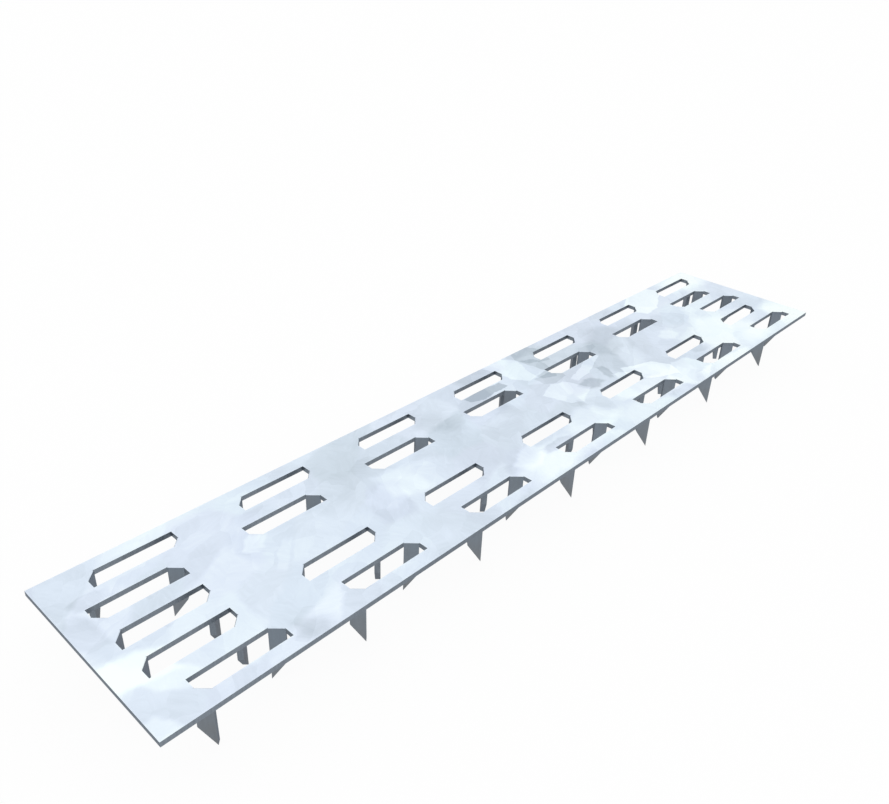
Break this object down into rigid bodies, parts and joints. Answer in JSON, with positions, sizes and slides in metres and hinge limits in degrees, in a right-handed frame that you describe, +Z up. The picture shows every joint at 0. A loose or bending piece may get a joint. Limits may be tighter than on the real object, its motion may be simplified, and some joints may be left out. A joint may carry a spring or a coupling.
{
  "type": "nail plate",
  "caption": "Long flat galvanised steel nail plate with staggered rows of slots and pointed teeth folded down from the slot corners, pressed across a scaffold board's end to stop it splitting.",
  "frame": {"origin": "centre of the plate's underside, the face that lies on the board", "axes": "+X along the plate's length towards the end where the outer slot columns lead, +Y across its width, +Z up out of the top face, with the teeth pointing along -Z"},
  "size_m": [0.203, 0.04, 0.011],
  "materials": {
    "galvanised_sheet": "hot-dip galvanised with a soft spangle, sheared edges bare"
  },
  "bodies": {
    "root": {"nail_plate": "galvanised_sheet"}
  },
  "joints": []
}
